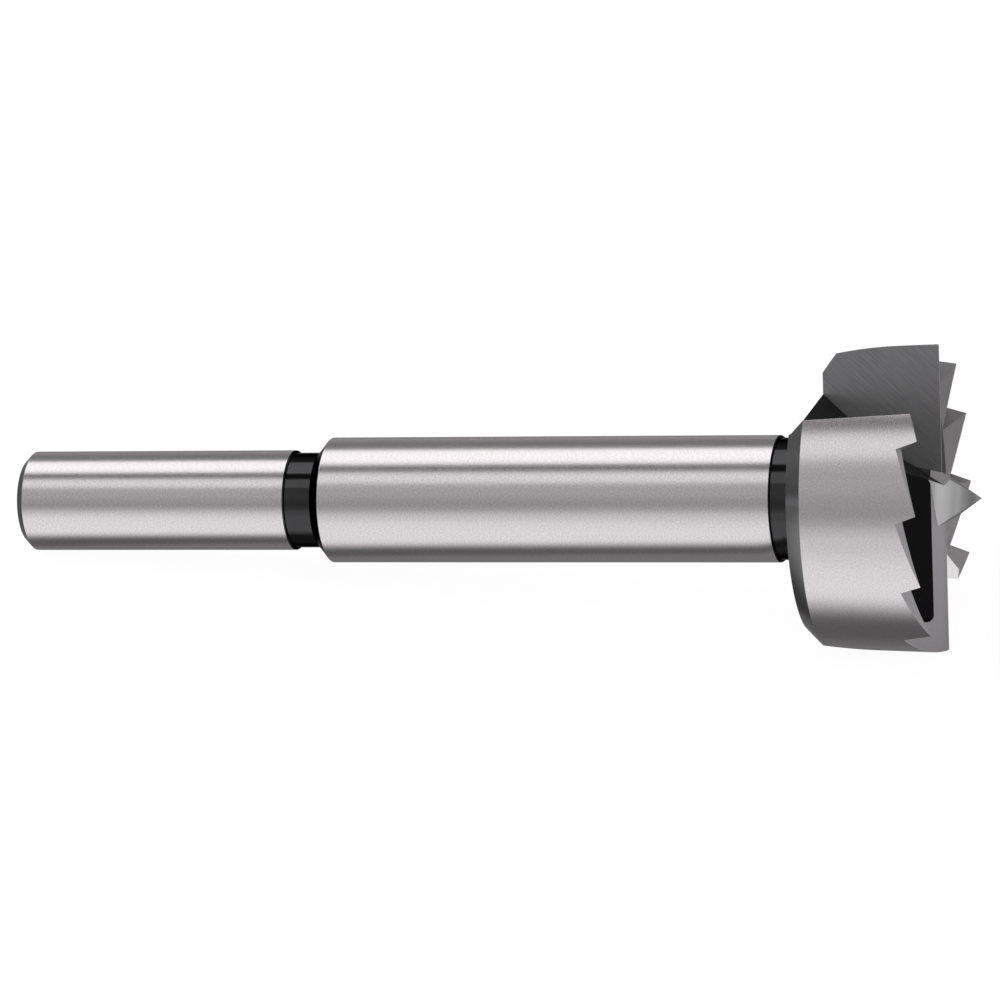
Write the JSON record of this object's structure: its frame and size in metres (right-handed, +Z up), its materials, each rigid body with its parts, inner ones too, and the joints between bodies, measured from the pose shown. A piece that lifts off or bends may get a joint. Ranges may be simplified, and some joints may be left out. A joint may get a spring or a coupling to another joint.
{
  "type": "forstner bit",
  "caption": "Sawtooth forstner drill bit: round shank, thicker plain body and a cutting head with a toothed rim, cutting edges and a centre point, for boring clean flat-bottomed holes in wood.",
  "frame": {"origin": "under the middle of the bit's box, on the floor that it lies on", "axes": "+X along the bit toward the centre point, rising slightly as the bit lies; +Z up from the floor"},
  "size_m": [0.0978, 0.03, 0.0279],
  "materials": {
    "tool_steel": "turned and ground bright steel, faintly grained"
  },
  "bodies": {
    "root": {"forstner_bit": "tool_steel"}
  },
  "joints": []
}
